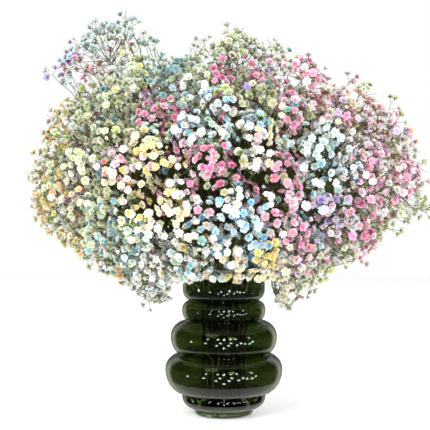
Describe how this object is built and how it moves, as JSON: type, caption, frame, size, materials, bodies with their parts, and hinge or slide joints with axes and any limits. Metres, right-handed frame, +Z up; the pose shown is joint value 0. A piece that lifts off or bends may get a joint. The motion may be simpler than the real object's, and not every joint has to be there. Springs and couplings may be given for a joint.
{
  "type": "gypsophila bouquet in a vase",
  "caption": "Large bouquet of rainbow-dyed double gypsophila sprays standing in a dark green bubble glass vase.",
  "frame": {"origin": "centre of the underside of the vase's foot, on its axis", "axes": "+Z up along the vase's axis, +X to the right as the picture shows it, the picture taken from -Y"},
  "size_m": [0.477, 0.4394, 0.4882],
  "materials": {
    "vase_glass": "gloss",
    "spray": "matte"
  },
  "bodies": {
    "root": {"vase": "vase_glass", "spray_01": "spray", "spray_02": "spray", "spray_03": "spray", "spray_04": "spray", "spray_05": "spray", "spray_06": "spray", "spray_07": "spray", "spray_08": "spray", "spray_09": "spray", "spray_10": "spray", "spray_11": "spray", "spray_12": "spray", "spray_13": "spray", "spray_14": "spray", "spray_15": "spray", "spray_16": "spray", "spray_17": "spray", "spray_18": "spray", "spray_19": "spray", "spray_20": "spray", "spray_21": "spray", "spray_22": "spray", "spray_23": "spray", "spray_24": "spray", "spray_25": "spray", "spray_26": "spray", "spray_27": "spray", "spray_28": "spray", "spray_29": "spray", "spray_30": "spray", "spray_31": "spray", "spray_32": "spray", "spray_33": "spray", "spray_34": "spray", "spray_35": "spray", "spray_36": "spray"}
  },
  "joints": []
}
